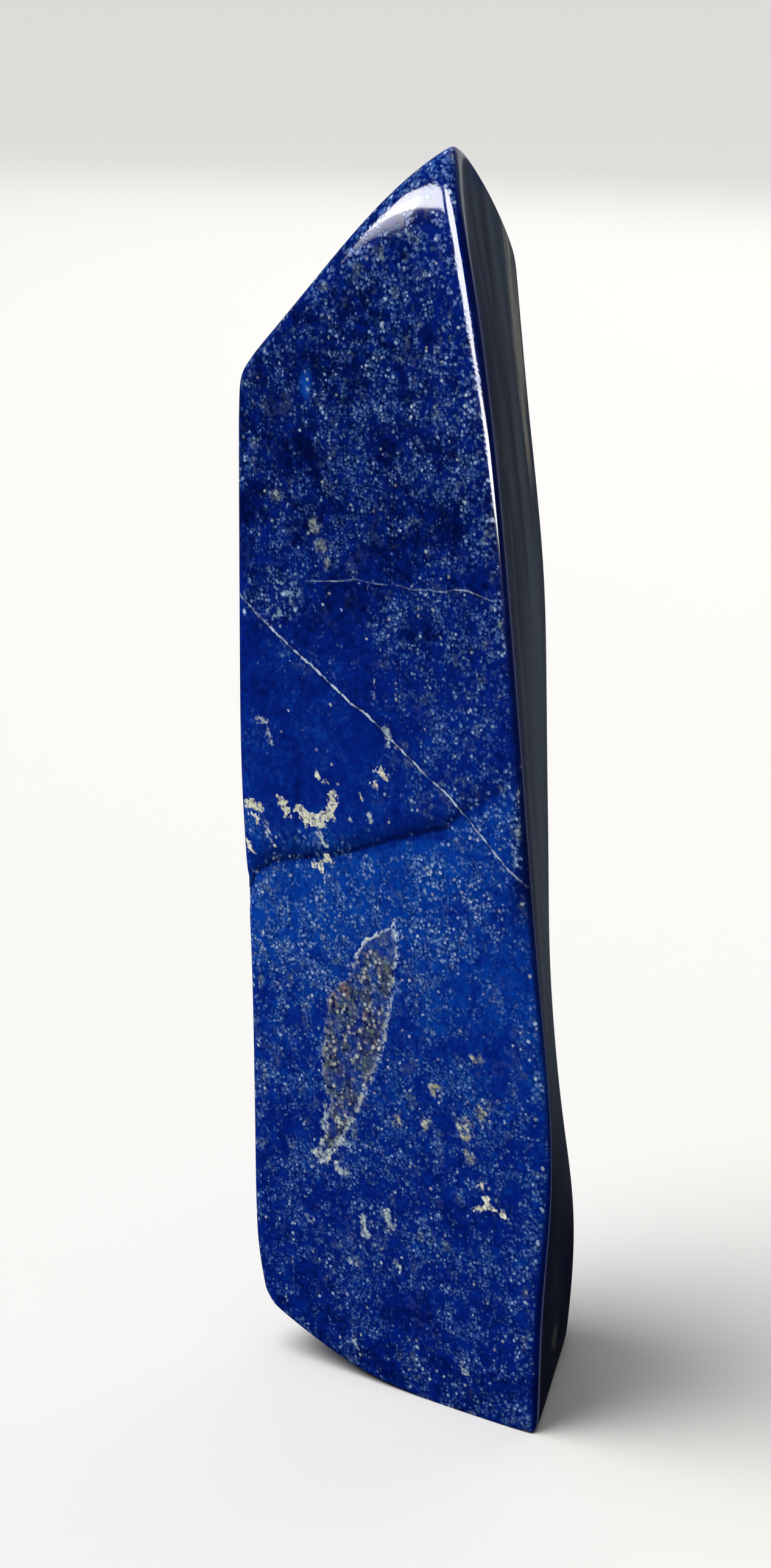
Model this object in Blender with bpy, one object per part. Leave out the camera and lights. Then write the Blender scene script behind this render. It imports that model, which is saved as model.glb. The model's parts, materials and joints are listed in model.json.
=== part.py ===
"""A free-standing tower of polished lapis lazuli: one natural stone, 200 mm tall.

The broad front face looks along -Y. The origin is on the ground, under the middle of the stone.
The stone starts as a block divided into strips. Each of its vertices moves to its place between
the traced edges of the front and rear faces, then the edges are rounded and the underside is
lapped flat. All sizes are in millimetres until the last step.
"""
import bpy
import bmesh
from math import pi, sin
from mathutils import Vector, noise

MM = 0.001
TINY = 1e-6

# Where the front face stands.
FRONT_Y = -20.1

# Edges of the stone before they are rounded, as (height, across) stations. For the rear edges a
# second row of (height, depth) stations says how far back they lie.
FRONT_LEFT_EDGE = (
    (12.1, -27.2), (17, -28.8), (25, -29.2), (45, -29.3), (78, -29.8), (92, -31.2),
    (130, -31.2), (170, -30.8),
)
FRONT_RIGHT_EDGE = (
    (0, 29.7), (20, 29.9), (34, 31.4), (47, 32.5), (60, 31.3), (77, 28.8), (96, 26.8),
    (114, 24.8), (133, 22.7), (151, 20.5), (169, 17.9), (186, 14.5), (204, 8.5),
)
REAR_RIGHT_EDGE = (
    (0, 11.7), (15, 12.5), (26, 11.3), (34, 8.5), (43, 6.1), (56, 4.2), (74, 3.1), (88, 3.8),
    (102, 2.9), (122, 3.1), (136, 1.8), (150, -0.2), (166, -2.0), (180, -3.4),
)
REAR_RIGHT_DEPTH = ((0, 15.9), (15, 16.9), (30, 18.4), (50, 19.9), (180, 19.9))
REAR_LEFT_EDGE = ((0, -24.1), (55, -21.6), (115, -23.6), (170, -20.6))
REAR_LEFT_DEPTH = ((0, 7.8), (50, 10.4), (110, 12.2), (165, 9.2))

# The slanting top: heights of its four corners.
TOP_FRONT_LEFT = 164.6
TOP_FRONT_RIGHT = 202.6
TOP_REAR_LEFT = 163.0
TOP_REAR_RIGHT = 179.5

# The top is crowned, from front to rear, and along its front edge most towards the apex.
TOP_CROWN = 1.9
TOP_CROWN_TOWARDS_APEX = 2.3
TOP_CROWN_DEEP = 2.2
TOP_CROWN_FADE = 6

# The brow: above this height the front face leans back, by its depth at the apex.
BROW_START = 186.0
BROW_DEPTH = 4.5

# The lower left corner is ground away: a shallow facet that starts from a slanting line across
# the base, given by its front end and a point behind it, and curls up at its outer end.
UNDERCUT_FRONT = (-3.1, FRONT_Y)
UNDERCUT_REAR = (-28.1, 3.9)
UNDERCUT_SLOPE = 0.495
UNDERCUT_CURL = 3.0
UNDERCUT_REACH = 16.8
UNDERCUT_CURL_POWER = 8

# The rear face is crowned, and it and the left face wander a little, as hand-ground faces do.
REAR_CROWN = 2.5
WANDER = 0.8
WANDER_PERIODS = Vector((1.3, 1.7, 3.1))

# Rounding of each edge: how far it reaches along both of the faces that meet there.
EDGE_ROUNDING = {
    ("left", "front"): 2.8,
    ("right", "front"): 2.8,
    ("right", "rear"): 4.0,
    ("left", "rear"): 4.6,
    ("top", "front"): 3.2,
    ("top", "rear"): 4.0,
    ("left", "top"): 5.0,
    ("right", "top"): 2.2,
    ("bottom", "front"): 0.8,
    ("bottom", "rear"): 2.0,
    ("left", "bottom"): 4.0,
    ("right", "bottom"): 1.4,
}
LARGEST_ROUNDING = max(EDGE_ROUNDING.values())
ROUNDING_STEPS = 3

# What lies this close to the ground after the rounding is lapped flat, to make the base.
LAPPED = 0.35

# How many strips the block is divided into, across, deep and up.
STRIPS = (5, 4, 15)

# The strips crowd together at the lower left corner, where the outline curls, and by this share
# at the foot and the top.
CORNER_CROWDING = 1.67
END_CROWDING = 0.35

# The finish: deep ultramarine, as a linear colour, with a hand polish.
ULTRAMARINE = (0.004, 0.022, 0.26, 1.0)
POLISH_ROUGHNESS = 0.16


def mix(a, b, t):
    return a + (b - a) * t


def along(stations, height):
    """Value at a height on a smooth curve through (height, value) stations."""
    first, last = stations[0], stations[-1]
    if height <= first[0]:
        return first[1]
    if height >= last[0]:
        return last[1]
    end = len(stations) - 1
    i = max(k for k in range(end) if stations[k][0] <= height)
    (h0, v0), (h1, v1) = stations[i], stations[i + 1]
    before = stations[max(i - 1, 0)]
    after = stations[min(i + 2, end)]
    span = h1 - h0
    rise0 = span * (v1 - before[1]) / (h1 - before[0])
    rise1 = span * (after[1] - v0) / (after[0] - h0)
    t = (height - h0) / span
    eased = 3 * t**2 - 2 * t**3
    return mix(v0, v1, eased) + rise0 * (t**3 - 2 * t**2 + t) + rise1 * (t**3 - t**2)


def undercut(x, y):
    """Height of the underside above the ground at a place on the plan."""
    start = Vector(UNDERCUT_FRONT)
    line = (Vector(UNDERCUT_REAR) - start).normalized()
    offset = Vector((x, y)) - start
    beyond = line.x * offset.y - line.y * offset.x
    if beyond <= 0:
        return 0.0
    curl = UNDERCUT_CURL * (beyond / UNDERCUT_REACH) ** UNDERCUT_CURL_POWER
    return UNDERCUT_SLOPE * beyond + curl


def brow(height):
    """How far the front face leans back at a height."""
    rise = max(0.0, height - BROW_START) / (TOP_FRONT_RIGHT - BROW_START)
    return BROW_DEPTH * rise**2


def front_left(v):
    height = mix(FRONT_LEFT_EDGE[0][0], TOP_FRONT_LEFT, v)
    return Vector((along(FRONT_LEFT_EDGE, height), FRONT_Y, height))


def front_right(v):
    height = TOP_FRONT_RIGHT * v
    return Vector((along(FRONT_RIGHT_EDGE, height), FRONT_Y, height))


def rear_left(v):
    height = TOP_REAR_LEFT * v
    return Vector((along(REAR_LEFT_EDGE, height), along(REAR_LEFT_DEPTH, height), height))


def rear_right(v):
    height = TOP_REAR_RIGHT * v
    return Vector((along(REAR_RIGHT_EDGE, height), along(REAR_RIGHT_DEPTH, height), height))


def front_bottom(u):
    x = mix(front_left(0).x, front_right(0).x, u**CORNER_CROWDING)
    return Vector((x, FRONT_Y, undercut(x, FRONT_Y)))


def front_top(u):
    point = mix(front_left(1), front_right(1), u)
    point.z += TOP_CROWN * sin(pi * u**TOP_CROWN_TOWARDS_APEX)
    return point


def front_face(u, v):
    """A point of the front face, spanned between its four edges."""
    sides = mix(front_left(v), front_right(v), u)
    ends = mix(front_bottom(u), front_top(u), v)
    lower = mix(front_bottom(0), front_bottom(1), u)
    upper = mix(front_top(0), front_top(1), u)
    point = sides + ends - mix(lower, upper, v)
    point.y = FRONT_Y + brow(point.z)
    return point


def rear_face(u, v):
    return mix(rear_left(v), rear_right(v), u)


def place(corner):
    """Where a vertex of the unit block, at (across, deep, up), goes on the stone."""
    u, w, v = corner
    v -= END_CROWDING * sin(2 * pi * v) / (2 * pi)
    point = mix(front_face(u, v), rear_face(u, v), w)
    wander = WANDER * noise.noise(Vector((u, w, v)) * WANDER_PERIODS)
    point.x += w * (1 - u) * wander
    point.y += w * (REAR_CROWN * 4 * u * (1 - u) + wander)
    point.z += TOP_CROWN_DEEP * 4 * w * (1 - w) * v**TOP_CROWN_FADE
    if v < TINY:
        point.z = undercut(point.x, point.y)
    return point * MM


def faces_at(co):
    """Names of the block's faces that a vertex of the unit block lies on."""
    names = set()
    for value, low, high in zip(co, ("left", "front", "bottom"), ("right", "rear", "top")):
        if value < TINY:
            names.add(low)
        if value > 1 - TINY:
            names.add(high)
    return names


def unit_block():
    """A unit cube divided into strips along each of its three directions."""
    bm = bmesh.new()
    bmesh.ops.create_cube(bm, size=1.0)
    bmesh.ops.translate(bm, verts=bm.verts, vec=(0.5, 0.5, 0.5))
    for axis, strips in enumerate(STRIPS):
        edges = [e for e in bm.edges if abs(e.verts[0].co[axis] - e.verts[1].co[axis]) > TINY]
        bmesh.ops.subdivide_edges(bm, edges=edges, cuts=strips - 1, use_grid_fill=True)
    return bm


def new_object(name, mesh):
    item = bpy.data.objects.new(name, mesh)
    bpy.context.scene.collection.objects.link(item)
    return item


def sharp_stone():
    """The block in its shape, with sharp edges, each marked with the rounding it gets."""
    bm = unit_block()
    weight = bm.edges.layers.float.new("bevel_weight_edge")
    for edge in bm.edges:
        shared = faces_at(edge.verts[0].co) & faces_at(edge.verts[1].co)
        for pair, rounding in EDGE_ROUNDING.items():
            if shared.issuperset(pair):
                edge[weight] = rounding / LARGEST_ROUNDING
    for vert in bm.verts:
        vert.co = place(vert.co)
    for face in bm.faces:
        face.smooth = True
    mesh = bpy.data.meshes.new("sharp_stone")
    bm.to_mesh(mesh)
    bm.free()
    return new_object("sharp_stone", mesh)


def rounded(item):
    """The mesh of an object with its marked edges rounded and its faces smoothed."""
    edges = item.modifiers.new("rounded edges", "BEVEL")
    edges.limit_method = "WEIGHT"
    edges.width = LARGEST_ROUNDING * MM
    edges.segments = ROUNDING_STEPS
    polish = item.modifiers.new("polish", "SUBSURF")
    polish.levels = 1
    polish.render_levels = 1
    depsgraph = bpy.context.evaluated_depsgraph_get()
    return bpy.data.meshes.new_from_object(item.evaluated_get(depsgraph))


def polished_lapis():
    material = bpy.data.materials.new("polished_lapis")
    material.use_nodes = True
    shader = material.node_tree.nodes["Principled BSDF"]
    shader.inputs["Base Color"].default_value = ULTRAMARINE
    shader.inputs["Roughness"].default_value = POLISH_ROUGHNESS
    shader.inputs["Metallic"].default_value = 0.0
    return material


def lapis_stone():
    """The finished stone, standing on its lapped base."""
    sharp = sharp_stone()
    mesh = rounded(sharp)
    bpy.data.objects.remove(sharp)
    mesh.name = "lapis_stone"
    for vert in mesh.vertices:
        if vert.co.z < LAPPED * MM:
            vert.co.z = 0.0
    mesh.materials.append(polished_lapis())
    return new_object("lapis_stone", mesh)


for old in list(bpy.data.objects):
    bpy.data.objects.remove(old)
lapis_stone()
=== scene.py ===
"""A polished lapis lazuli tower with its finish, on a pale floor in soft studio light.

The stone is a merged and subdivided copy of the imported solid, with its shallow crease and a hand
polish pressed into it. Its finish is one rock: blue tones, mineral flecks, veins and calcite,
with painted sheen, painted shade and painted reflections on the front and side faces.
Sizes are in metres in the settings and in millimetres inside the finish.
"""
import json
from math import cos, exp, radians, sin, tan

import bpy
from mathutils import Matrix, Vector

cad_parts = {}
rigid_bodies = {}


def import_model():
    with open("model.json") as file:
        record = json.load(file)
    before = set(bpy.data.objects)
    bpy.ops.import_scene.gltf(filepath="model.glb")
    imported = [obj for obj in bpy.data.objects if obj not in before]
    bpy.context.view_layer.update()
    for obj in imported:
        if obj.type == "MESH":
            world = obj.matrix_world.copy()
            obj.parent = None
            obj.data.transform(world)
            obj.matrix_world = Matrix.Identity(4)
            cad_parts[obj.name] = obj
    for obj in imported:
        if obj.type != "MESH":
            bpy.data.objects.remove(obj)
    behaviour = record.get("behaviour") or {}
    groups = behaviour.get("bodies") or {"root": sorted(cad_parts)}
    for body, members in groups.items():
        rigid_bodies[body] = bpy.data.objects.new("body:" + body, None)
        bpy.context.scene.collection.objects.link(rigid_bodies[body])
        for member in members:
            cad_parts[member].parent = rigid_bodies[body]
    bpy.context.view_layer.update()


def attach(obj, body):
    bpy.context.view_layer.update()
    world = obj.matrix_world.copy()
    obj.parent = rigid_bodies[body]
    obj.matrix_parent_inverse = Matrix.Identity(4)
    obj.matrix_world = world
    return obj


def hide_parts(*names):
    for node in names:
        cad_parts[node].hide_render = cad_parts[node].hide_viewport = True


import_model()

bl_info = {
    "name": "Polished lapis lazuli tower",
    "version": (1, 0, 0),
    "blender": (4, 5, 0),
    "location": "3D View > Sidebar > Lapis",
    "description": "Makes a polished lapis lazuli tower and the stage that it stands on",
    "category": "Add Mesh",
}

PER_MM = 1000.0

# Where the front face stands and how deep the side face is, in millimetres.
FRONT_Y = -20.1
SIDE_DEPTH = 38.0


def linear(red, green, blue):
    """A screen colour, each part from 0 to 255, as linear light."""
    parts = []
    for part in (red, green, blue):
        share = part / 255
        parts.append(share / 12.92 if share <= 0.04045 else ((share + 0.055) / 1.055) ** 2.4)
    return tuple(parts)


# The crease across the front face, as (across, height) in millimetres.
CREASE = (
    (-31.0, 78.0), (-28.2, 80.5), (-26.9, 83.2), (-22.9, 86.0), (-17.2, 87.5), (-11.5, 88.9),
    (-5.1, 91.2), (0.4, 93.6), (4.9, 95.3), (10.2, 97.1), (13.8, 100.4), (18.5, 103.4),
    (25.5, 108.7), (31.0, 112.0),
)

# The long white vein that falls across the stone, and the thin level one above it.
LONG_VEIN = (
    (-31.0, 129.9), (-28.8, 128.2), (-23.9, 124.8), (-18.8, 121.5), (-13.0, 118.1), (-7.8, 114.8),
    (-4.1, 113.1), (0.4, 110.1), (6.2, 106.0), (12.0, 102.3), (17.7, 97.5), (22.7, 93.1),
    (26.5, 90.6), (31.0, 87.6),
)
LONG_VEIN_STRENGTH = (
    (-31.0, 0.4), (-27.5, 0.9), (-26.2, 0.9), (-25.6, 0.1), (-24.8, 0.1), (-24.0, 1.0),
    (-21.4, 1.0), (-20.6, 0.35), (-19.4, 0.8), (-8.0, 1.0), (4.9, 0.9), (6.3, 0.5), (7.4, 0.15),
    (8.6, 0.5), (12.0, 0.9), (21.5, 0.75), (25.0, 0.3), (28.0, 0.0),
)
THIN_VEIN = (
    (-31.0, 131.0), (-15.0, 132.8), (-10.0, 133.4), (-5.8, 134.3), (-3.1, 134.0), (1.3, 134.4),
    (4.8, 134.1), (7.8, 134.5), (10.0, 134.4), (12.6, 135.1), (14.7, 135.3), (16.5, 134.9),
    (19.1, 134.4), (21.2, 134.5), (31.0, 134.0),
)
THIN_VEIN_STRENGTH = (
    (-16.5, 0.0), (-15.0, 0.45), (-12.0, 0.5), (-11.0, 1.0), (-9.0, 0.9), (-7.5, 0.45),
    (1.0, 0.5), (4.0, 0.35), (8.0, 0.9), (14.5, 1.0), (17.0, 0.7), (21.0, 0.5), (23.0, 0.0),
)

# The leaf-shaped inclusion: its left and right edges, as (height, across).
LEAF_LEFT = (
    (36.6, -15.2), (37.9, -14.6), (41.0, -13.2), (43.9, -11.9), (47.5, -11.6), (51.2, -13.2),
    (55.7, -13.0), (59.0, -12.5), (65.1, -11.8), (67.4, -9.8), (69.1, -7.7), (73.4, -6.5),
    (76.2, -4.4), (78.3, -1.4), (79.8, 1.1),
)
LEAF_RIGHT = (
    (36.6, -12.6), (40.7, -9.7), (44.1, -7.3), (48.1, -5.7), (50.3, -5.0), (53.6, -3.1),
    (58.4, -1.2), (64.1, -0.1), (67.5, 0.5), (71.1, 1.4), (73.9, 1.8), (76.3, 2.1),
    (78.4, 1.8), (79.8, 1.1),
)
LEAF_BROWN = ((-10.8, 65.1, 1.5), (-8.6, 66.8, 1.0), (-4.7, 63.8, 0.9), (-7.2, 60.0, 0.5))
LEAF_YELLOW = ((-0.1, 74.0, 0.8), (-0.2, 72.6, 0.5), (-5.0, 71.2, 0.5))

# The right edges of the side face, as (height, across): where it meets the front and the rear.
SIDE_FRONT_EDGE = (
    (0, 29.7), (20, 29.9), (34, 31.4), (47, 32.5), (60, 31.3), (77, 28.8), (96, 26.8),
    (114, 24.8), (133, 22.7), (151, 20.5), (169, 17.9), (186, 14.5), (204, 8.5),
)
SIDE_REAR_EDGE = (
    (0, 11.7), (15, 12.5), (26, 11.3), (34, 8.5), (43, 6.1), (56, 4.2), (74, 3.1), (88, 3.8),
    (102, 2.9), (122, 3.1), (136, 1.8), (150, -0.2), (166, -2.0), (180, -3.4), (204, -3.4),
)

# Calcite on the front face: strokes of (thickness, points), each point as (across, height).
CREAM_STROKES = (
    (1.25, ((-17.6, 95.3), (-16.0, 94.0), (-13.6, 94.0))),
    (1.1, ((-13.6, 94.4), (-11.6, 95.6), (-11.0, 98.8))),
    (0.5, ((-12.1, 100.6), (-14.2, 101.7))),
    (0.95, ((-21.4, 96.5), (-20.0, 94.4))),
    (1.05, ((-28.4, 94.6), (-25.9, 94.4))),
    (0.6, ((-26.6, 92.8), (-26.2, 92.2))),
    (0.75, ((-28.4, 88.0), (-27.6, 86.8))),
    (0.5, ((-22.9, 88.4), (-22.6, 86.6))),
    (0.85, ((-14.3, 87.0), (-13.3, 86.3))),
    (0.55, ((-12.6, 88.0), (-10.8, 88.4))),
    (0.55, ((-2.4, 104.7), (-1.0, 104.4), (-0.6, 103.6))),
    (0.5, ((-2.7, 102.1), (-1.8, 101.6))),
    (0.4, ((-5.5, 100.6), (-5.3, 99.4))),
    (0.6, ((18.3, 40.2), (19.1, 38.6), (19.9, 36.8))),
    (0.6, ((17.5, 36.0), (19.6, 36.9), (23.2, 36.1))),
)
PALE_STROKES = (
    (0.4, ((-24.4, 92.0), (-24.0, 89.8), (-23.0, 89.2))),
    (0.35, ((-14.0, 93.0), (-13.2, 90.8), (-12.4, 90.2))),
    (0.4, ((-7.6, 95.6), (-7.0, 94.9))),
    (0.4, ((-3.7, 96.9), (-3.4, 95.8))),
    (0.85, ((-0.1, 30.6), (0.7, 28.6))),
    (0.7, ((-4.9, 28.6), (-4.4, 25.6))),
    (0.5, ((1.7, 22.6), (2.5, 21.9))),
    (0.45, ((-7.5, 20.6), (-6.7, 20.4))),
    (0.5, ((-16.6, 25.7), (-15.7, 25.3))),
    (0.4, ((-6.8, 6.5), (-5.5, 4.2))),
    (0.7, ((14.7, 7.8), (15.9, 7.5))),
    (0.4, ((-26.0, 109.0), (-24.8, 109.3), (-24.0, 108.2), (-23.7, 106.8), (-23.1, 105.5))),
    (0.4, ((-12.6, 46.2), (-13.2, 41.8), (-13.3, 38.4))),
    (0.4, ((-6.9, 45.6), (-9.0, 41.9), (-11.1, 38.6), (-14.9, 37.4))),
    (0.85, ((-10.2, 36.2), (-8.8, 35.6))),
    (0.3, ((-2.6, 118.8), (-2.6, 116.2))),
    (0.55, ((-0.5, 110.9), (0.5, 110.6))),
    (0.3, ((-0.1, 112.2), (0.1, 108.9))),
)

# Clusters of grains on the front face, as (across, height, radius).
GRAIN_CLUSTERS = (
    (17.2, 61.0, 1.0), (9.2, 54.3, 1.1), (7.6, 48.0, 1.0), (15.3, 48.9, 1.6), (1.7, 46.9, 0.8),
    (18.2, 52.2, 1.0), (16.0, 44.5, 0.9), (-10.8, 64.5, 0.9), (-21.6, 145.6, 1.0),
    (-14.3, 141.8, 1.3), (-12.8, 138.6, 1.1), (-11.5, 135.9, 0.8),
)
WHITE_CLUSTERS = (
    (-0.5, 177.6, 0.55), (-1.1, 173.9, 0.5), (-3.4, 172.6, 0.45), (-11.2, 168.5, 0.5),
    (-10.8, 172.0, 0.4), (-15.3, 162.7, 0.5), (-18.4, 160.6, 0.4), (2.2, 143.0, 0.5),
    (-20.4, 129.9, 0.5), (-18.3, 127.7, 0.45), (-23.4, 128.6, 0.4), (-9.0, 129.1, 0.35),
    (-28.6, 126.0, 0.5), (-27.0, 128.0, 0.4), (-19.3, 119.4, 0.35),
)
NET_PLACE = (-22.8, 0.0, 129.6)
NET_REACH = (7.0, 1.0, 5.5)
BRIGHT_PLACE = (-15.7, 0.0, 163.5)
BRIGHT_REACH = (1.3, 1.0, 3.2)

# How blue and how flecked the rock is along its height.
DEPTH_OF_BLUE = (
    (0, 0.3), (12, 0.42), (24, 0.48), (38, 0.54), (55, 0.64), (75, 0.8), (92, 0.7),
    (104, 0.56), (118, 0.47), (132, 0.36), (150, 0.26), (170, 0.27), (202, 0.36),
)
FLECKS_ALONG = (
    (0, 0.7), (14, 0.75), (30, 0.88), (45, 0.9), (62, 0.78), (72, 0.66), (84, 0.62), (98, 0.34),
    (112, 0.27), (124, 0.4), (136, 0.6), (150, 0.92), (165, 1.0), (185, 1.0), (202, 0.95),
)


class StoneSettings(bpy.types.PropertyGroup):
    """Sizes and colours of the stone."""

    smoothness: bpy.props.IntProperty(
        name="Smoothness",
        description="How many times the faces of the packed solid are divided",
        default=2, min=1, max=2)
    crease_depth: bpy.props.FloatProperty(
        name="Crease depth",
        description="How deep the crease across the front face is",
        default=0.00045, min=0.0, max=0.002, precision=5, unit="LENGTH")
    crease_width: bpy.props.FloatProperty(
        name="Crease width",
        description="Half of the width of the crease",
        default=0.0026, min=0.0005, max=0.01, precision=5, unit="LENGTH")
    polish_waves: bpy.props.FloatProperty(
        name="Polish waves",
        description="How far the hand-polished faces wander from flat",
        default=0.00005, min=0.0, max=0.001, precision=5, unit="LENGTH")
    polish_wave_length: bpy.props.FloatProperty(
        name="Wave length",
        description="Distance from one wave of the polish to the next",
        default=0.022, min=0.005, max=0.1, unit="LENGTH")
    fleck_spacing: bpy.props.FloatProperty(
        name="Fleck spacing",
        description="Usual distance between two mineral flecks",
        default=0.00094, min=0.0004, max=0.005, precision=5, unit="LENGTH")
    vein_width: bpy.props.FloatProperty(
        name="Vein width",
        description="Width of the long white vein",
        default=0.00034, min=0.0001, max=0.003, precision=5, unit="LENGTH")
    navy: bpy.props.FloatVectorProperty(
        name="Navy", description="The darkest blue of the rock",
        default=linear(0, 10, 62), min=0.0, max=1.0, subtype="COLOR")
    ultramarine: bpy.props.FloatVectorProperty(
        name="Ultramarine", description="The main blue of the rock",
        default=linear(2, 32, 127), min=0.0, max=1.0, subtype="COLOR")
    azure: bpy.props.FloatVectorProperty(
        name="Azure", description="The lightest blue of the rock",
        default=linear(5, 68, 172), min=0.0, max=1.0, subtype="COLOR")
    fleck_blue: bpy.props.FloatVectorProperty(
        name="Fleck blue", description="The darker flecks",
        default=linear(72, 118, 190), min=0.0, max=1.0, subtype="COLOR")
    fleck_teal: bpy.props.FloatVectorProperty(
        name="Fleck teal", description="The greener of the darker flecks",
        default=linear(64, 124, 162), min=0.0, max=1.0, subtype="COLOR")
    olive: bpy.props.FloatVectorProperty(
        name="Olive", description="The clouds of fine grey-green grains",
        default=linear(112, 128, 108), min=0.0, max=1.0, subtype="COLOR")
    fleck_pale: bpy.props.FloatVectorProperty(
        name="Fleck pale", description="The middling flecks",
        default=linear(106, 150, 204), min=0.0, max=1.0, subtype="COLOR")
    fleck_white: bpy.props.FloatVectorProperty(
        name="Fleck white", description="The lighter flecks and the veins",
        default=linear(188, 208, 232), min=0.0, max=1.0, subtype="COLOR")
    cream: bpy.props.FloatVectorProperty(
        name="Cream", description="The calcite patches",
        default=linear(216, 218, 190), min=0.0, max=1.0, subtype="COLOR")
    gold: bpy.props.FloatVectorProperty(
        name="Gold", description="The warmer grains of the clusters",
        default=linear(164, 164, 124), min=0.0, max=1.0, subtype="COLOR")
    roughness: bpy.props.FloatProperty(
        name="Roughness", description="Roughness of the polish",
        default=0.07, min=0.0, max=1.0, subtype="FACTOR")


class StageSettings(bpy.types.PropertyGroup):
    """The floor, the light and the camera."""

    floor_size: bpy.props.FloatProperty(
        name="Floor size", description="Width of the floor",
        default=40.0, min=1.0, unit="LENGTH")
    floor_colour: bpy.props.FloatVectorProperty(
        name="Floor colour", description="Colour of the floor",
        default=(0.68, 0.67, 0.65), min=0.0, max=1.0, subtype="COLOR")
    air: bpy.props.FloatProperty(
        name="Air", description="Brightness of the room around the stone",
        default=0.05, min=0.0, max=1.0)
    azimuth: bpy.props.FloatProperty(
        name="Camera azimuth", description="How far the camera stands round to the right",
        default=radians(37.0), subtype="ANGLE")
    pitch: bpy.props.FloatProperty(
        name="Camera pitch", description="How far the camera looks down",
        default=radians(16.0), subtype="ANGLE")
    camera_place: bpy.props.FloatVectorProperty(
        name="Camera place", description="Where the camera stands",
        default=(0.3000, -0.4188, 0.2457), subtype="TRANSLATION", unit="LENGTH")
    lens: bpy.props.FloatProperty(
        name="Lens", description="Focal length in millimetres on a 36 mm frame",
        default=5500 / 2576 * 36, min=10.0)


class Value:
    """A socket in a material, for use in plain sums."""

    def __init__(self, finish, socket):
        self.finish = finish
        self.socket = socket

    def __add__(self, other):
        return self.finish.sum("ADD", self, other)

    def __sub__(self, other):
        return self.finish.sum("SUBTRACT", self, other)

    def __mul__(self, other):
        return self.finish.sum("MULTIPLY", self, other)

    def __truediv__(self, other):
        return self.finish.sum("DIVIDE", self, other)

    def __pow__(self, other):
        return self.finish.sum("POWER", self, other)

    def __rsub__(self, other):
        return self.finish.sum("SUBTRACT", other, self)

    def __rtruediv__(self, other):
        return self.finish.sum("DIVIDE", other, self)

    def __neg__(self):
        return self * -1.0

    def __abs__(self):
        return self.finish.sum("ABSOLUTE", self)

    __radd__ = __add__
    __rmul__ = __mul__

    def least(self, other):
        return self.finish.sum("MINIMUM", self, other)

    def most(self, other):
        return self.finish.sum("MAXIMUM", self, other)

    def below(self, other):
        return self.finish.sum("LESS_THAN", self, other)

    def eased(self, start, end):
        """0 before start and 1 past end, with a soft turn at both."""
        node = self.finish.node(
            "ShaderNodeMapRange", {"interpolation_type": "SMOOTHSTEP"},
            {0: self, 1: start, 2: end, 3: 0.0, 4: 1.0})
        return Value(self.finish, node.outputs[0])


class Sums:
    """The nodes of one shader, made from plain sums."""

    def __init__(self, tree):
        self.tree = tree

    def node(self, kind, settings, sockets):
        """Any node: its kind, its settings, then the values or links of its sockets."""
        made = self.tree.nodes.new(kind)
        for key, setting in settings.items():
            if key == "stops":
                self.set_stops(made.color_ramp, setting)
            else:
                setattr(made, key, setting)
        for key, given in sockets.items():
            self.feed(made.inputs[key], given)
        return made

    def set_stops(self, ramp, stops):
        while len(ramp.elements) < len(stops):
            ramp.elements.new(1.0)
        for element, (place, level) in zip(ramp.elements, stops):
            element.position = place
            element.color = (level, level, level, 1.0)

    def feed(self, target, given):
        if isinstance(given, Value):
            given = given.socket
        if isinstance(given, bpy.types.NodeSocket):
            self.tree.links.new(given, target)
        elif target.type == "RGBA":
            target.default_value = (*given[:3], 1.0)
        else:
            target.default_value = given

    def sum(self, operation, *terms):
        node = self.node("ShaderNodeMath", {"operation": operation}, dict(enumerate(terms)))
        return Value(self, node.outputs[0])

    def vector(self, operation, first, second=None, scale=None):
        sockets = {0: first}
        if second is not None:
            sockets[1] = second
        if scale is not None:
            sockets[3] = scale
        node = self.node("ShaderNodeVectorMath", {"operation": operation}, sockets)
        if operation in ("DOT_PRODUCT", "DISTANCE", "LENGTH"):
            return Value(self, node.outputs["Value"])
        return node.outputs["Vector"]

    def mix(self, share, first, second):
        """A colour between two colours."""
        node = self.node(
            "ShaderNodeMix", {"data_type": "RGBA", "clamp_factor": True},
            {0: share, 6: first, 7: second})
        return node.outputs[2]

    def parts(self, vector):
        node = self.node("ShaderNodeSeparateXYZ", {}, {0: vector})
        return tuple(Value(self, node.outputs[k]) for k in range(3))


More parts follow.
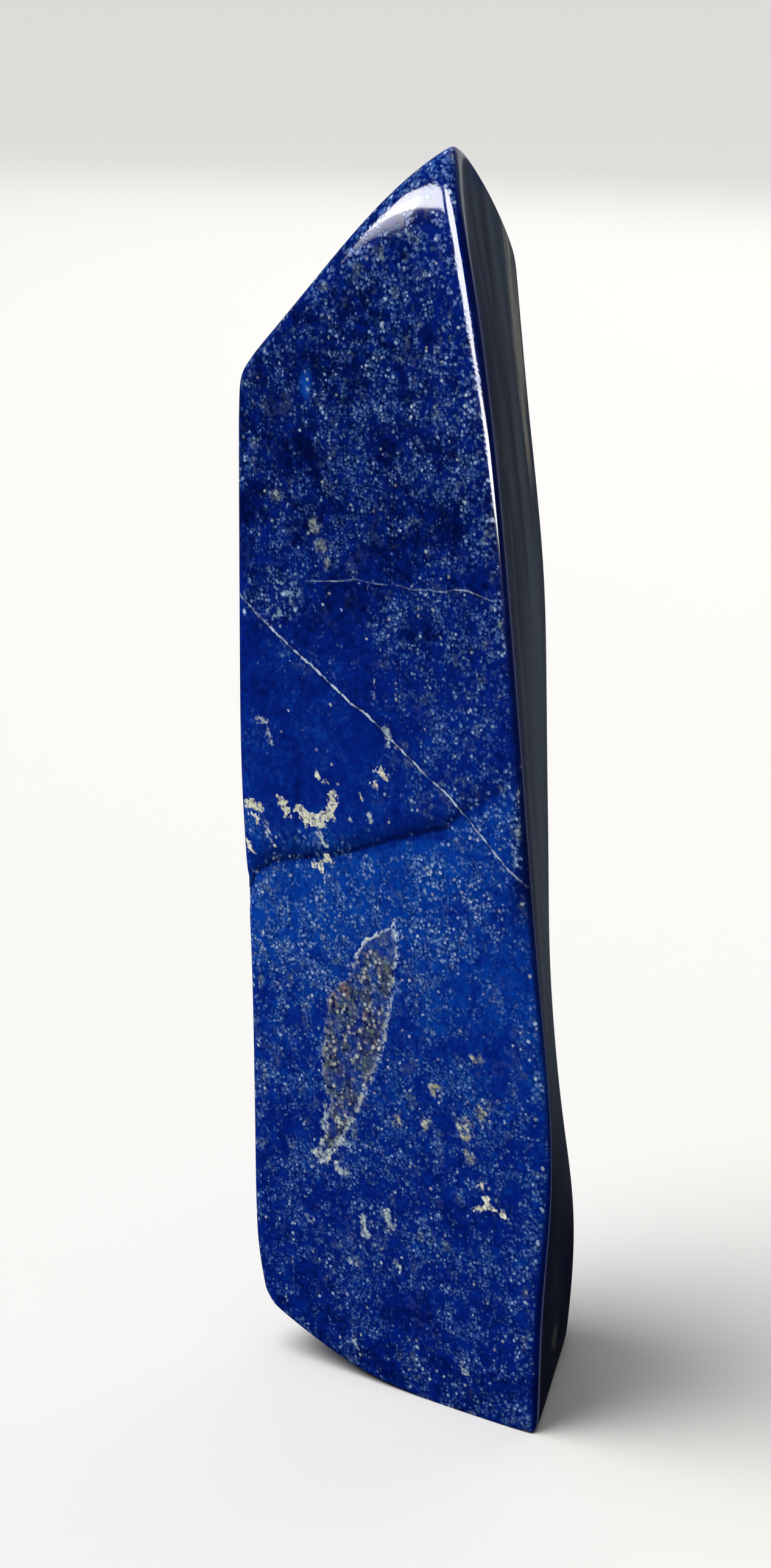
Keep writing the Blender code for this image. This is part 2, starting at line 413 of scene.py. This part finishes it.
class Finish(Sums):
    """A material being made, with the ways to add to it."""

    def __init__(self, name):
        self.material = bpy.data.materials.new(name)
        self.material.use_nodes = True
        super().__init__(self.material.node_tree)
        self.shader = self.tree.nodes["Principled BSDF"]
        place = self.node("ShaderNodeTexCoord", {}, {}).outputs["Object"]
        self.place = self.vector("SCALE", place, scale=PER_MM)
        self.x, self.y, self.z = self.parts(self.place)
        flat = self.node("ShaderNodeCombineXYZ", {}, {0: self.x, 1: 0.0, 2: self.z})
        self.flat = flat.outputs[0]

    def noise(self, size, detail=2.0, rough=0.5, place=None, shift=0.0):
        """Cloudy noise between about 0 and 1, with features of a size in millimetres."""
        node = self.clouds(size, detail, rough, place, shift)
        return Value(self, node.outputs["Fac"])

    def clouds(self, size, detail, rough, place, shift):
        source = self.place if place is None else place
        if shift:
            source = self.vector("ADD", source, (shift, shift * 0.7, -shift))
        return self.node(
            "ShaderNodeTexNoise", {},
            {"Vector": source, "Scale": 1.0 / size, "Detail": detail, "Roughness": rough})

    def warped(self, size, reach, detail=2.0, shift=0.0):
        """The place, pushed about by noise by up to half of a reach."""
        node = self.clouds(size, detail, 0.5, None, shift)
        centred = self.vector("SUBTRACT", node.outputs["Color"], (0.5, 0.5, 0.5))
        return self.vector("ADD", self.place, self.vector("SCALE", centred, scale=reach))

    def cells(self, size, place=None, feature="F1"):
        """Distance in millimetres in each cell, and the cell's three random numbers."""
        source = self.place if place is None else place
        node = self.node(
            "ShaderNodeTexVoronoi", {"feature": feature}, {"Vector": source, "Scale": 1.0 / size})
        distance = Value(self, node.outputs["Distance"]) * size
        if feature == "DISTANCE_TO_EDGE":
            return distance, ()
        parts = self.node("ShaderNodeSeparateColor", {}, {0: node.outputs["Color"]})
        return distance, tuple(Value(self, parts.outputs[k]) for k in range(3))

    def curve(self, value, stations):
        """The value's place on a smooth line through (value, result) stations."""
        first, last = stations[0][0], stations[-1][0]
        results = [result for _, result in stations]
        low, high = min(results), max(results)
        stops = [((v - first) / (last - first), (r - low) / (high - low)) for v, r in stations]
        node = self.node(
            "ShaderNodeValToRGB", {"stops": stops}, {0: (value - first) / (last - first)})
        return Value(self, node.outputs[0]) * (high - low) + low

    def from_stroke(self, points):
        """Distance on the front face from a line through points."""
        nearest = None
        for (x0, z0), (x1, z1) in zip(points, points[1:]):
            start = Vector((x0, 0.0, z0))
            run = Vector((x1, 0.0, z1)) - start
            offset = self.vector("SUBTRACT", self.flat, tuple(start))
            share = self.vector("DOT_PRODUCT", offset, tuple(run)) / run.length_squared
            share = share.most(0.0).least(1.0)
            foot = self.vector("SCALE", tuple(run), scale=share)
            distance = self.vector("DISTANCE", offset, foot)
            nearest = distance if nearest is None else nearest.least(distance)
        return nearest

    def strokes(self, strokes):
        """How far inside a group of strokes a place is, in millimetres."""
        inside = None
        for thickness, points in strokes:
            depth = thickness - self.from_stroke(points)
            inside = depth if inside is None else inside.most(depth)
        return inside

    def clusters(self, clusters):
        """How far inside a group of round clusters a place is, in millimetres."""
        inside = None
        for x, z, radius in clusters:
            depth = radius - self.vector("DISTANCE", self.flat, (x, 0.0, z))
            inside = depth if inside is None else inside.most(depth)
        return inside


def flecks(finish, size, place, smallest, largest, soft):
    """Soft round grains, and two random numbers for each."""
    distance, (chance, wide, tint) = finish.cells(size, place)
    radius = smallest + wide * (largest - smallest)
    return (radius - distance).eased(-soft, soft), chance, tint


def lapis_finish(settings):
    """The rock: one finish that runs through the whole stone, with painted sheen, shade and reflections."""
    f = Finish("polished_lapis")
    x, y, z = f.x, f.y, f.z
    front = 1.0 - y.eased(-18.8, -14.5)

    broad = f.noise(26.0, 2.0, 0.5)
    middling = f.noise(7.0, 3.0, 0.55, shift=31.0)
    mottle = f.noise(2.2, 3.0, 0.6, shift=57.0)
    crumb = f.noise(1.0, 1.5, 0.6, shift=41.0)
    grain = f.noise(0.55, 2.0, 0.6, shift=83.0)

    # Where the side face is: the rounding beside the front, its border and the face itself.
    depth = y - FRONT_Y
    side_edge = f.curve(z, SIDE_FRONT_EDGE)
    side_slant = (f.curve(z, SIDE_REAR_EDGE) - side_edge) / SIDE_DEPTH
    near_side = x - side_edge - side_slant * depth + 1.6 - z.eased(186.0, 198.0) * 1.5
    near_side = near_side.eased(0.0, 0.8)
    side = near_side * depth.eased(2.0, 3.4)
    side_rounding = near_side * depth.eased(0.25, 0.8)

    above_crease = z - f.curve(x, CREASE)
    leaning = z + (broad - 0.5) * 20.0

    # Blue tones, with a painted sheen below the crease, painted shade in the crease and a painted dark
    # reflection along the right edge.
    blue = f.curve(leaning, DEPTH_OF_BLUE)
    blue = blue + (middling - 0.5) * 0.8 + (mottle - 0.5) * 0.6 + (crumb - 0.5) * 0.7
    upper_right = x.eased(0.0, 14.0) * z.eased(148.0, 172.0) * front
    blue = blue + upper_right * 0.2
    upper_left = (1.0 - x.eased(-22.0, -2.0)) * z.eased(142.0, 152.0) * front
    # Painted sheen: the blue lightens in a band below the crease, in place of the reflected haze there.
    glow = above_crease.eased(-24.0, -3.0) * (1.0 - above_crease.eased(-2.2, -0.4)) * front
    blue = blue + glow * 0.22
    colour = f.mix(blue.eased(0.0, 0.55), settings.navy, settings.ultramarine)
    colour = f.mix(blue.eased(0.45, 1.15), colour, settings.azure)
    # Painted shade: the crease is pressed into the mesh, and its groove is also painted navy.
    from_valley = above_crease + (mottle - 0.5) * 1.4
    painted_crease_shade = from_valley.eased(-0.7, 0.0) * (1.0 - from_valley.eased(0.3, 1.3)) * 0.9
    painted_crease_shade = painted_crease_shade.most(from_valley.eased(-0.7, 0.2) * (1.0 - from_valley.eased(0.5, 4.5)) * 0.6)
    colour = f.mix(painted_crease_shade * (1.0 - x.eased(10.0, 22.0) * 0.6) * front, colour, settings.navy)
    # Painted dark reflection: a navy strip along the right edge of the front face, around mid height.
    painted_dark_rim = x.eased(22.6, 25.0) * (1.0 - (z - 97.0).__abs__().eased(6.0, 16.0)) * front
    colour = f.mix(painted_dark_rim * 0.75, colour, settings.navy)
    bright = f.vector("DIVIDE", f.vector("SUBTRACT", f.flat, BRIGHT_PLACE), BRIGHT_REACH)
    bright = f.vector("LENGTH", bright) + (mottle - 0.5) * 1.6
    bright = (1.0 - bright.eased(0.2, 1.2)) * front
    colour = f.mix(bright * 0.7, colour, linear(16, 84, 196))

    # Flecks: a close field of dim irregular grains, olive and teal clouds of them, and among
    # them fewer small bright ones.
    wealth = f.curve(leaning, FLECKS_ALONG) + (middling - 0.5) * 1.3 + (broad - 0.5) * 0.4
    right_of_middle = x.eased(-10.0, 8.0) * z.eased(92.0, 104.0) * (1.0 - z.eased(128.0, 138.0))
    below_crease = (-above_crease).eased(0.0, 4.0) * (1.0 - (-above_crease).eased(16.0, 34.0))
    wealth = wealth + (right_of_middle * 0.5 + below_crease * 0.45) * front
    wealth = wealth + upper_right * 0.25 - upper_left * 0.22
    wealth = wealth - side_rounding * 2.0
    rich = wealth.eased(0.0, 1.25)
    spacing = settings.fleck_spacing * PER_MM
    jitter = f.warped(0.6, 0.45)
    clump = f.noise(2.4, 2.0, 0.65, shift=73.0)
    clumped = (clump * 0.7 + middling * 0.3).eased(0.38, 0.6)
    in_net = f.vector("DIVIDE", f.vector("SUBTRACT", f.flat, NET_PLACE), NET_REACH)
    in_net = f.vector("LENGTH", in_net) + (mottle - 0.5) * 0.8
    in_net = (1.0 - in_net.eased(0.5, 1.1)) * front
    cluster = f.clusters(GRAIN_CLUSTERS) + (mottle - 0.5) * 2.4 + (crumb - 0.5) * 1.6
    cluster = cluster.eased(-0.5, 0.6) * front
    rock = rich * (0.18 + clumped * 0.92)
    lively = rock.most(cluster).most(in_net * 0.55)
    fine, fine_chance, fine_tint = flecks(f, spacing * 0.8, jitter, 0.15, 0.41, 0.17)
    small, small_chance, small_tint = flecks(
        f, spacing * 0.6, f.vector("ADD", jitter, (5.0, 9.0, 2.0)), 0.12, 0.31, 0.13)
    fine_share = fine * (lively * 1.5 - fine_chance).eased(0.0, 0.9)
    small_share = small * (lively * 1.3 - small_chance).eased(0.0, 0.9)
    grains = fine_share.most(small_share)
    gaps = (1.0 - fine.most(small)) * lively
    colour = f.mix(gaps * 0.5, colour, settings.navy)
    dim_tint = f.mix(clump.eased(0.36, 0.62), settings.fleck_teal, settings.fleck_blue)
    colour = f.mix(grains * 0.42, colour, dim_tint)
    olive_share = (f.noise(2.6, 2.0, 0.6, shift=101.0) + crumb * 0.3).eased(0.74, 0.86) * rich
    olive_share = olive_share.most(cluster * crumb.eased(0.3, 0.6))
    colour = f.mix(olive_share * (0.15 + grains * 0.6), colour, settings.olive)
    rarity = 1.0 - below_crease * front * 0.55
    bright_share = (fine_share * fine_tint ** (rarity * 3.0)).most(
        small_share * small_tint ** (rarity * 4.0))
    pale = f.mix(bright_share, settings.fleck_pale, settings.fleck_white)
    colour = f.mix(bright_share * 0.85, colour, pale)
    coarse, coarse_chance, coarse_tint = flecks(f, spacing * 1.5, jitter, 0.1, 0.28, 0.15)
    coarse_share = coarse * coarse_chance.below(0.03 + rich * 0.16) * (0.3 + coarse_tint * 0.7)
    bright_fleck = f.mix(coarse_tint, settings.cream, settings.fleck_white)
    colour = f.mix(coarse_share, colour, bright_fleck)
    cluster_tint = f.mix(f.noise(1.3, 1.0, 0.5, shift=147.0).eased(0.4, 0.6), settings.gold, settings.cream)
    cluster_share = cluster * (crumb * 0.6 + grain * 0.6).eased(0.5, 0.72)
    cluster_share = cluster_share * (1.0 - z.eased(120.0, 134.0) * 0.7)
    colour = f.mix(cluster_share * 0.85, colour, cluster_tint)

    # Veins, which are sheets through the rock.
    wobble = (mottle - 0.5) * 1.2 + (grain - 0.5) * 0.4
    long_place = z - f.curve(x, LONG_VEIN) + depth * 0.32
    width = settings.vein_width * PER_MM
    strength = f.curve(x, LONG_VEIN_STRENGTH)
    dashes = f.noise(3.2, 2.0, 0.6, shift=7.0)
    fades = (dashes * 0.8 + grain * 0.6).eased(0.5, 0.85)
    beads = f.noise(1.5, 2.0, 0.65, shift=13.0).eased(0.4, 0.6)
    from_long = abs(long_place + wobble * 0.6)
    long_share = strength * front + (1.0 - front) * 0.5
    long_vein = 1.0 - (from_long / (width * (0.4 + beads * 0.75))).eased(0.3, 1.0)
    long_vein = long_vein * long_share * (0.22 + beads * 0.85)
    beside_vein = (1.0 - from_long.eased(0.3, 0.75)) * long_share
    colour = f.mix(beside_vein * 0.5, colour, settings.navy)
    thin_place = z - f.curve(x, THIN_VEIN) - depth * 0.2
    thin_vein = 1.0 - (abs(thin_place + wobble * 0.4) / width).eased(0.1, 0.6)
    thin_strength = f.curve(x, THIN_VEIN_STRENGTH) * front + (1.0 - front) * 0.4
    thin_vein = thin_vein * thin_strength * fades * (0.3 + beads * 0.5)
    edge, _ = f.cells(3.4, f.warped(2.5, 2.4, shift=11.0), "DISTANCE_TO_EDGE")
    net = (1.0 - edge.eased(0.08, 0.4)) * in_net * crumb.eased(0.5, 0.64)
    rear = 1.0 - front
    far_edge, _ = f.cells(31.0, f.warped(14.0, 13.0, 4.0, shift=5.0), "DISTANCE_TO_EDGE")
    far_veins = (1.0 - far_edge.eased(0.05, 0.4)) * rear * middling.eased(0.4, 0.6) * fades
    colour = f.mix(net * 0.75, colour, linear(132, 164, 190))
    vein = long_vein.most(thin_vein).most(far_veins * 0.65)
    colour = f.mix(vein, colour, settings.fleck_white)

    # The leaf-shaped inclusion: many-coloured grains, dark between, in a broken white rim.
    ragged = (mottle - 0.5) * 1.6 + (crumb - 0.5) * 1.4 + (grain - 0.5) * 0.5
    from_left = x - f.curve(z, LEAF_LEFT)
    from_right = f.curve(z, LEAF_RIGHT) - x
    inside = from_left.least(from_right).least((z - 36.4) * 0.8).least((80.4 - z) * 0.8) + ragged
    leaf = inside.eased(-0.3, 0.4) * front
    lumps, hue, light = flecks(f, 0.76, f.vector("ADD", jitter, (7.0, 3.0, 60.0)), 0.2, 0.46, 0.14)
    grey = f.mix(hue.eased(0.55, 0.9), linear(112, 130, 160), linear(160, 140, 122))
    grey = f.mix((0.3 - hue).eased(0.0, 0.1), grey, linear(122, 150, 112))
    grey = f.mix(light ** 2.4, grey, linear(214, 220, 214))
    core = f.mix(crumb.eased(0.34, 0.62), linear(8, 20, 72), linear(58, 72, 102))
    brown = (f.clusters(LEAF_BROWN) + ragged).eased(-0.3, 0.9) * crumb.eased(0.3, 0.55)
    core = f.mix(brown * 0.8, core, linear(128, 92, 82))
    yellow = (f.clusters(LEAF_YELLOW) + ragged).eased(-0.3, 0.7)
    core = f.mix(yellow * 0.7, core, linear(126, 140, 82))
    core = f.mix(lumps * (0.15 + light * 0.75), core, grey)
    at_tip = z.eased(71.0, 75.0)
    windows = f.noise(2.8, 2.0, 0.6, shift=163.0).eased(0.4, 0.54)
    colour = f.mix(leaf * (0.2 + windows * 0.75) * (1.0 - at_tip * 0.25), colour, core)
    rim_line = inside.eased(-0.45, 0.05) * (1.0 - inside.eased(0.15, 1.0)) * front
    on_right = (from_left - from_right).eased(-1.0, 1.0)
    rim_strength = (0.22 + on_right * 0.4).most(z.eased(69.0, 74.0)).most((46.0 - z).eased(0.0, 5.0))
    rim_share = rim_line * (crumb * 0.75 + grain * 0.5 + at_tip * 0.07).eased(0.57, 0.71)
    rim_share = rim_share * rim_strength
    rim_tone = f.mix(crumb.eased(0.5, 0.7), settings.fleck_white, settings.cream)
    colour = f.mix(rim_share, colour, rim_tone)

    # Calcite patches and grain clusters.
    ragged = (mottle - 0.5) * 1.2 + (crumb - 0.5) * 3.2 + (grain - 0.5) * 0.8
    cream_depth = f.strokes(CREAM_STROKES) - 0.2 + ragged
    shade = f.noise(0.9, 1.5, 0.6, shift=67.0)
    gaps = f.noise(0.75, 1.5, 0.6, shift=191.0).eased(0.54, 0.64)
    cream = cream_depth.eased(-0.15, 0.3) * (1.0 - gaps * 0.75) * front
    cream_tone = f.mix(shade.eased(0.46, 0.6) * 0.75, settings.cream, linear(150, 156, 128))
    cream_tone = f.mix(grain.eased(0.46, 0.64) * 0.9, cream_tone, linear(250, 250, 238))
    colour = f.mix(cream * 0.95, colour, cream_tone)
    pale_depth = f.strokes(PALE_STROKES) - 0.1 + ragged
    pale_patch = pale_depth.eased(-0.3, 0.5) * front * (0.3 + shade.eased(0.36, 0.6) * 0.7)
    pale_tone = f.mix(grain.eased(0.4, 0.7), linear(128, 156, 170), linear(224, 230, 226))
    colour = f.mix(pale_patch, colour, pale_tone)
    white_depth = f.clusters(WHITE_CLUSTERS) - 0.1 + (grain - 0.5) * 1.3
    white_tone = f.mix(crumb.eased(0.4, 0.6), settings.fleck_pale, settings.fleck_white)
    colour = f.mix(white_depth.eased(-0.05, 0.3) * front * 0.9, colour, white_tone)
    far_distance, (far_chance, far_wide, _) = f.cells(21.0, f.warped(5.0, 7.0, 4.0, shift=23.0))
    far_cream = (far_wide * 3.2 - far_distance).eased(-0.2, 0.5) * far_chance.below(0.5) * rear
    colour = f.mix(far_cream * 0.9, colour, cream_tone)

    # The side face: a painted reflection, slate grey with soft upright streaks, with a painted pale
    # highlight streak near the rear edge and painted dark reflection towards the foot, behind a rounding
    # painted dark blue as a dark reflection.
    upright = f.vector("MULTIPLY", f.place, (1.0, 1.0, 0.07))
    bands = f.noise(10.0, 2.0, 0.5, upright, shift=29.0)
    # Painted reflection: this grey stands in for the dim room seen in the polish at a grazing angle.
    painted_side_reflection = f.mix(bands.eased(0.38, 0.62), linear(16, 24, 38), linear(72, 84, 92))
    threads = f.noise(3.0, 3.0, 0.6, upright, shift=37.0)
    # Painted highlight: a pale streak near the rear edge of the side face.
    from_streak = abs(depth - 30.5 + (threads - 0.5) * 9.0)
    painted_far_highlight = (1.0 - from_streak.eased(0.8, 3.2)) * z.eased(142.0, 154.0)
    painted_side_reflection = f.mix(threads.eased(0.5, 0.7) * 0.4, painted_side_reflection, linear(104, 112, 104))
    painted_side_reflection = f.mix(painted_far_highlight * 0.8, painted_side_reflection, linear(176, 174, 156))
    # Painted dark reflection: the side face darkens towards the foot.
    painted_side_reflection = f.mix((56.0 - z).eased(0.0, 16.0) * 0.8, painted_side_reflection, linear(6, 10, 24))
    # Painted dark reflection: a dark blue band on the rounding between the front and side faces.
    colour = f.mix(side_rounding * (1.0 - side) * 0.75, colour, linear(1, 8, 60))
    colour = f.mix(side * 0.85, colour, painted_side_reflection)

    mineral = grains.most(coarse_share).most(cream).most(vein).most(net) * (1.0 - side)
    streaks = f.noise(1.0, 3.0, 0.6, f.vector("MULTIPLY", f.place, (0.9, 0.9, 0.05)))
    rough = settings.roughness + mineral * 0.16 + (streaks - 0.5) * 0.1 + side * 0.06
    f.feed(f.shader.inputs["Base Color"], colour)
    f.feed(f.shader.inputs["Roughness"], rough)
    f.shader.inputs["IOR"].default_value = 1.5
    pits = (fine * (rock * 1.5 - fine_chance).eased(0.0, 0.9)).most(
        small * (rock * 1.3 - small_chance).eased(0.0, 0.9))
    relief = mottle * 0.12 + streaks * (1.0 - near_side) * 0.2 - pits * 0.45
    bump = f.node(
        "ShaderNodeBump", {}, {"Strength": 0.25, "Distance": 0.00005, "Height": relief})
    f.feed(f.shader.inputs["Normal"], bump.outputs[0])
    return f.material


def floor_finish(colour):
    material = bpy.data.materials.new("pale_floor")
    material.use_nodes = True
    shader = material.node_tree.nodes["Principled BSDF"]
    shader.inputs["Base Color"].default_value = (*colour, 1.0)
    shader.inputs["Roughness"].default_value = 0.9
    shader.inputs["Specular IOR Level"].default_value = 0.0
    return material


def room_light(world, air):
    """Even light from all round, brighter behind the stone and darker low down."""
    sums = Sums(world.node_tree)
    background = world.node_tree.nodes["Background"]
    x, y, z = sums.parts(sums.node("ShaderNodeTexCoord", {}, {}).outputs["Generated"])
    behind = y.eased(-0.7, 0.8) * 0.75 + 0.25
    level = z.eased(-0.41, -0.31) * 0.85 + 0.15
    far_window = (-x).eased(0.42, 0.47) * z.eased(-0.2, -0.14) * 3.0
    near_window = x.eased(-0.12, 0.0) * (1.0 - x.eased(0.25, 0.35)) * 5.0
    windows = (far_window + near_window) * y.eased(0.6, 0.7)
    background.inputs["Color"].default_value = (0.76, 0.86, 1.0, 1.0)
    sums.feed(background.inputs["Strength"], (behind * level + windows) * air)


def crease_height(x):
    """Height of the crease at a place across the front face, in millimetres."""
    for (x0, z0), (x1, z1) in zip(CREASE, CREASE[1:]):
        if x <= x1:
            return z0 + (z1 - z0) * (x - x0) / (x1 - x0)
    return CREASE[-1][1]


def only(item):
    """Leave one object selected and active."""
    bpy.ops.object.select_all(action="DESELECT")
    item.select_set(True)
    bpy.context.view_layer.objects.active = item


def apply(item, kind, **settings):
    """Add a modifier to an object and apply it."""
    only(item)
    modifier = item.modifiers.new(kind.lower(), kind)
    for key, setting in settings.items():
        setattr(modifier, key, setting)
    bpy.ops.object.modifier_apply(modifier=modifier.name)


def weigh(item, name, weight_at):
    """Give an object a vertex group with a weight for each place, in millimetres."""
    group = item.vertex_groups.new(name=name)
    for vert in item.data.vertices:
        weight = weight_at(vert.co * PER_MM, vert.normal)
        if weight > 0.001:
            group.add([vert.index], weight, "REPLACE")


def light_panel(name, azimuth, elevation, distance, size, watts, target, glossy=True):
    """A soft panel that faces a target, seen from the stone at an azimuth and elevation."""
    direction = Vector((
        sin(azimuth) * cos(elevation), -cos(azimuth) * cos(elevation), sin(elevation)))
    bpy.ops.object.light_add(
        type="AREA", location=Vector(target) + direction * distance,
        rotation=direction.to_track_quat("Z", "Y").to_euler())
    item = bpy.context.object
    item.name = name
    item.data.shape = "RECTANGLE"
    item.data.size, item.data.size_y = size
    item.data.energy = watts
    item.visible_camera = False
    item.visible_glossy = glossy
    return item


class LAPIS_OT_stage(bpy.types.Operator):
    """Make the camera, the floor and the soft studio light"""

    bl_idname = "lapis.stage"
    bl_label = "Make the stage"

    def execute(self, context):
        settings = context.scene.lapis_stage
        bpy.ops.object.select_all(action="DESELECT")
        bpy.ops.object.camera_add(
            location=settings.camera_place,
            rotation=(radians(90) - settings.pitch, 0.0, settings.azimuth))
        camera = context.object
        camera.name = "camera"
        camera.data.sensor_width = 36.0
        camera.data.lens = settings.lens
        camera.data.clip_end = 100.0
        context.scene.camera = camera

        bpy.ops.mesh.primitive_plane_add(size=settings.floor_size)
        floor = context.object
        floor.name = "floor"
        floor.data.materials.append(floor_finish(settings.floor_colour))
        floor.visible_glossy = False

        world = bpy.data.worlds.new("room")
        world.use_nodes = True
        room_light(world, settings.air)
        context.scene.world = world
        context.scene.view_settings.view_transform = "Standard"

        bpy.ops.object.light_add(
            type="SUN", rotation=(radians(90 - 60), 0.0, radians(-50)))
        sky = context.object
        sky.name = "daylight"
        sky.data.energy = 3.7
        sky.data.angle = radians(50)
        sky.visible_glossy = False
        middle = (0.0, 0.0, 0.1)
        light_panel("back", radians(195), radians(40), 1.4, (2.0, 2.0), 8.0, middle)
        light_panel("overhead", radians(0), radians(85), 1.5, (1.4, 1.4), 6.0, middle)
        brow = light_panel(
            "brow_panel", radians(-35), 0.0, 0.46, (0.23, 0.095), 1.3, (0.0, 0.0, 0.325))
        brow.rotation_euler.rotate_axis("Z", radians(5))
        glow = light_panel(
            "brow_glow", radians(-42.5), 0.0, 0.46, (0.095, 0.095), 0.042, (0.0, 0.0, 0.26))
        glow.rotation_euler.rotate_axis("X", radians(-25))
        glow.data.spread = radians(49)
        edge = light_panel(
            "edge_panel", radians(6), 0.0, 0.46, (0.34, 0.32), 7.6, (0.0, 0.0, 0.3))
        low_edge = light_panel(
            "low_edge_panel", radians(50), 0.0, 0.46, (0.4, 0.045), 1.7, (0.0, 0.0, 0.157))
        for panel in (brow, glow, edge, low_edge):
            panel.visible_diffuse = False
        return {"FINISHED"}


class LAPIS_OT_stone(bpy.types.Operator):
    """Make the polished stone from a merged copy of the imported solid"""

    bl_idname = "lapis.stone"
    bl_label = "Make the stone"

    def execute(self, context):
        settings = context.scene.lapis_stone
        only(bpy.data.objects["lapis_stone"])
        bpy.ops.object.duplicate(linked=False)
        stone = context.object
        stone.name = "lapis_tower"
        stone.data.name = "lapis_tower"
        bpy.ops.object.parent_clear(type="CLEAR_KEEP_TRANSFORM")
        bpy.ops.mesh.customdata_custom_splitnormals_clear()
        bpy.ops.object.mode_set(mode="EDIT")
        bpy.ops.mesh.select_mode(type="VERT")
        bpy.ops.mesh.select_all(action="SELECT")
        bpy.ops.mesh.remove_doubles(threshold=0.00001)
        bpy.ops.mesh.tris_convert_to_quads(
            face_threshold=radians(60), shape_threshold=radians(60))
        bpy.ops.mesh.mark_sharp(clear=True)
        bpy.ops.object.mode_set(mode="OBJECT")
        bpy.ops.object.shade_smooth()
        apply(stone, "SUBSURF", levels=settings.smoothness, render_levels=settings.smoothness)

        width = settings.crease_width * PER_MM

        def crease(place, normal):
            if normal.y > -0.2:
                return 0.0
            return exp(-((place.z - crease_height(place.x)) / width) ** 2)

        def polished(place, normal):
            return min(1.0, max(0.0, (place.z - 1.0) / 6.0))

        weigh(stone, "crease", crease)
        weigh(stone, "polished", polished)
        apply(
            stone, "DISPLACE", vertex_group="crease", mid_level=0.0,
            strength=-settings.crease_depth)
        waves = bpy.data.textures.new("polish_waves", "CLOUDS")
        waves.noise_scale = settings.polish_wave_length
        waves.noise_depth = 1
        apply(
            stone, "DISPLACE", vertex_group="polished", mid_level=0.5, texture=waves,
            strength=settings.polish_waves)
        stone.data.materials.clear()
        stone.data.materials.append(lapis_finish(settings))
        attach(stone, "root")
        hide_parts("lapis_stone")
        return {"FINISHED"}


class LAPIS_PT_panel(bpy.types.Panel):
    """Lists the steps and their settings"""

    bl_label = "Lapis tower"
    bl_space_type = "VIEW_3D"
    bl_region_type = "UI"
    bl_category = "Lapis"

    def draw(self, context):
        for operator, settings in (
                (LAPIS_OT_stage, context.scene.lapis_stage),
                (LAPIS_OT_stone, context.scene.lapis_stone)):
            box = self.layout.box()
            for name in settings.bl_rna.properties.keys():
                if name not in ("rna_type", "name"):
                    box.prop(settings, name)
            box.operator(operator.bl_idname)


CLASSES = (StoneSettings, StageSettings, LAPIS_OT_stage, LAPIS_OT_stone, LAPIS_PT_panel)


def register():
    for item in CLASSES:
        bpy.utils.register_class(item)
    bpy.types.Scene.lapis_stone = bpy.props.PointerProperty(type=StoneSettings)
    bpy.types.Scene.lapis_stage = bpy.props.PointerProperty(type=StageSettings)


def unregister():
    del bpy.types.Scene.lapis_stage
    del bpy.types.Scene.lapis_stone
    for item in reversed(CLASSES):
        bpy.utils.unregister_class(item)


def main():
    register()
    bpy.ops.lapis.stage()
    bpy.ops.lapis.stone()


if __name__ == "__main__":
    main()
